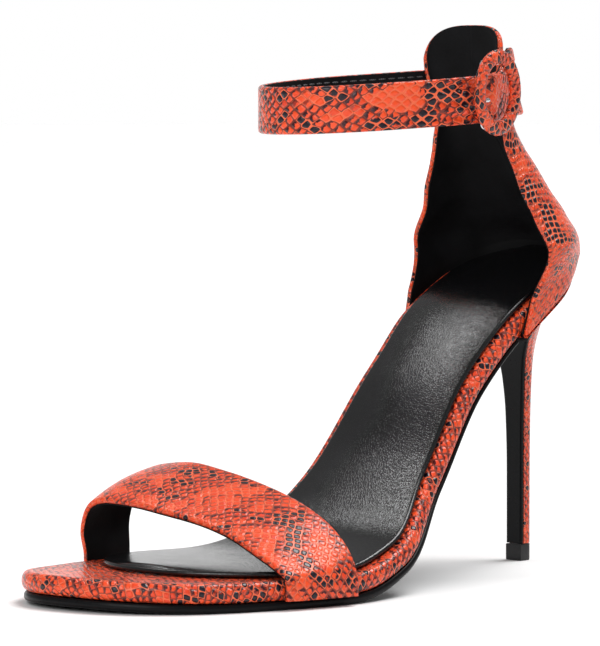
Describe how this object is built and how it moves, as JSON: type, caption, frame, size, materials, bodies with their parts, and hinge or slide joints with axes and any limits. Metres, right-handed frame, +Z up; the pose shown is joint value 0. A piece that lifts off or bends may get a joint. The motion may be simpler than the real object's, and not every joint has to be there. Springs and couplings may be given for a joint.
{
  "type": "ankle strap sandal",
  "caption": "Left high-heeled sandal with an open toe, a curved toe strap, a closed heel counter and a buckled ankle strap, in scale-embossed leather.",
  "frame": {"origin": "middle of the shoe's box, on the floor it stands on", "axes": "-Y towards the toe, +Y towards the heel, +X towards the outer side of the left foot, +Z up"},
  "size_m": [0.0952, 0.212, 0.171],
  "materials": {
    "snake": "embossed, semi-gloss",
    "insole": "semi-gloss",
    "outsole": "semi-gloss",
    "rubber": "matte",
    "metal": "polished"
  },
  "bodies": {
    "root": {"outsole": "outsole", "wrapped_board": "snake", "insole": "insole", "toe_strap": "snake", "heel_counter": "snake", "heel": "snake", "heel_breast": "outsole", "heel_tip": "rubber", "ankle_strap": "snake", "buckle_strap": "snake", "buckle_ring": "snake", "buckle_prong": "metal"}
  },
  "joints": []
}
